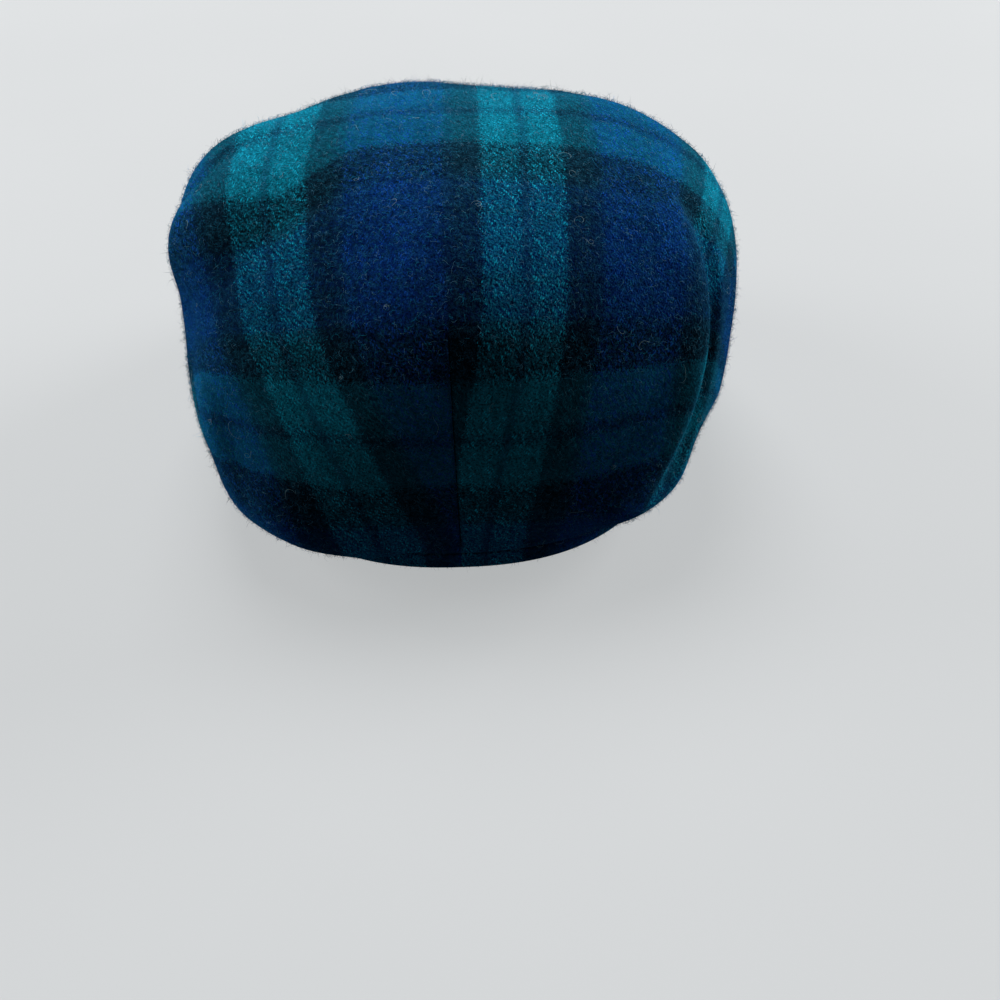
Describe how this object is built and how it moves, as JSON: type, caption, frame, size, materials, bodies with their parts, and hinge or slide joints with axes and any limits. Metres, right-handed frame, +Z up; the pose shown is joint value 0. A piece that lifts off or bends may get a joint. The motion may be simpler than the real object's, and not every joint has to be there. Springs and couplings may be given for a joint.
{
  "type": "flat cap",
  "caption": "Deep flat cap of brushed tartan wool: a one-piece crown with a dart at the back, a narrow turned band and a short stiff peak.",
  "frame": {"origin": "on the floor under the middle of the whole cap's box, with the cap standing on its opening", "axes": "+Z up through the crown, +Y towards the peak, -Y towards the dart at the back of the neck, +X to the wearer's right"},
  "size_m": [0.2298, 0.2702, 0.146],
  "materials": {
    "crown_cloth": "brushed wool in a blue, green and black tartan",
    "band_cloth": "the same cloth, turned and stitched",
    "peak_cloth": "the same cloth over a stiff board"
  },
  "bodies": {
    "root": {"crown": "crown_cloth", "hem_band": "band_cloth", "peak": "peak_cloth"}
  },
  "joints": []
}
